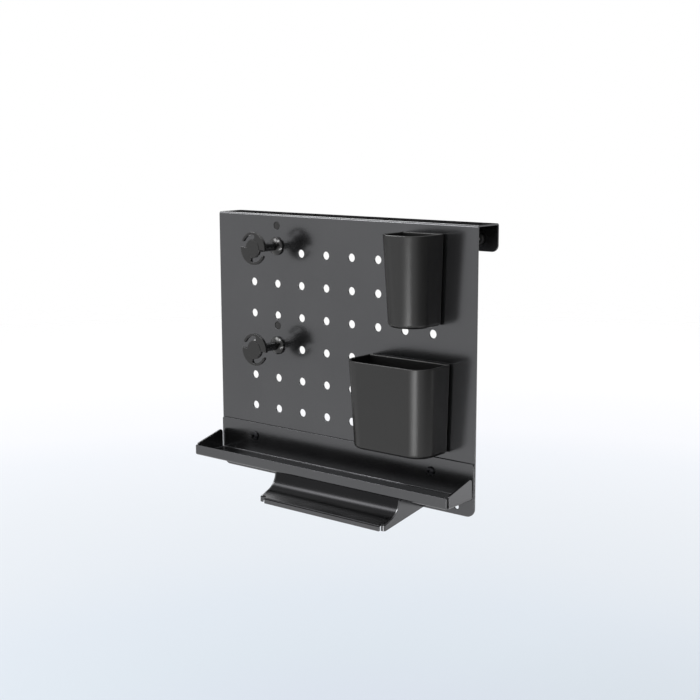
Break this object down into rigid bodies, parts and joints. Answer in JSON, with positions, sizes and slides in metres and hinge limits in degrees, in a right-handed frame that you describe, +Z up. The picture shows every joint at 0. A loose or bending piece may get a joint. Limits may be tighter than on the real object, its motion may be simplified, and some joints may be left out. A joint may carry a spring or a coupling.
{
  "type": "hanging pegboard organizer",
  "caption": "Folded steel pegboard that hooks over a partition, with a tray, a saddle hanger, slotted-disc cable hooks and open cups.",
  "frame": {"origin": "middle of the hanging seat, which is the underside of the top plate, half way across the channel and along the board", "axes": "+X along the board to the right seen from the front, +Y from the front to the back, +Z up; the board's front face looks along -Y"},
  "size_m": [0.3, 0.1035, 0.2592],
  "materials": {
    "coated_steel": "satin dark grey powder coat",
    "black_screw": "black oxide",
    "zinc": "zinc plated",
    "magnet": "nickel plated",
    "hook_plastic": "semi-gloss black",
    "cup_plastic": "satin dark grey",
    "pad_rubber": "matt black"
  },
  "bodies": {
    "root": {"pegboard_panel": "coated_steel", "tray_shelf": "coated_steel", "tray_screws": "black_screw", "tray_nuts": "zinc", "hanger_saddle": "coated_steel", "hanger_left_cheek": "coated_steel", "hanger_right_cheek": "coated_steel", "hanger_screws": "black_screw", "hanger_nuts": "zinc", "upper_hook_disc": "hook_plastic", "upper_hook_shaft": "hook_plastic", "upper_hook_key_plate": "hook_plastic", "upper_hook_screw": "zinc", "lower_hook_disc": "hook_plastic", "lower_hook_shaft": "hook_plastic", "lower_hook_key_plate": "hook_plastic", "lower_hook_screw": "zinc", "clamp_bushes": "zinc"},
    "pen_cup_body": {"pen_cup": "cup_plastic", "pen_cup_magnets": "magnet"},
    "utility_cup_body": {"utility_cup": "cup_plastic", "utility_cup_magnets": "magnet"},
    "left_pad_body": {"left_clamp_pad": "pad_rubber"},
    "left_screw_body": {"left_clamp_screw": "zinc"},
    "right_pad_body": {"right_clamp_pad": "pad_rubber"},
    "right_screw_body": {"right_clamp_screw": "zinc"}
  },
  "joints": [
    {"name": "pen_cup_pull", "type": "slide", "parent": "root", "child": "pen_cup_body", "axis": [0, -1, 0], "range_m": [0, 0.06]},
    {"name": "utility_cup_pull", "type": "slide", "parent": "root", "child": "utility_cup_body", "axis": [0, -1, 0], "range_m": [0, 0.06]},
    {"name": "left_clamp_travel", "type": "slide", "parent": "root", "child": "left_pad_body", "axis": [0, -1, 0], "range_m": [0, 0.012]},
    {"name": "left_clamp_turn", "type": "hinge", "parent": "left_pad_body", "child": "left_screw_body", "pos_m": [-0.132, 0.01425, -0.0125], "axis": [0, -1, 0], "range_deg": [0, 4320]},
    {"name": "right_clamp_travel", "type": "slide", "parent": "root", "child": "right_pad_body", "axis": [0, -1, 0], "range_m": [0, 0.012]},
    {"name": "right_clamp_turn", "type": "hinge", "parent": "right_pad_body", "child": "right_screw_body", "pos_m": [0.132, 0.01425, -0.0125], "axis": [0, -1, 0], "range_deg": [0, 4320]}
  ],
  "couplings": [
    {"joint": "left_clamp_turn", "follows": "left_clamp_travel", "rad_per_m": 6283.1},
    {"joint": "right_clamp_turn", "follows": "right_clamp_travel", "rad_per_m": 6283.1}
  ]
}
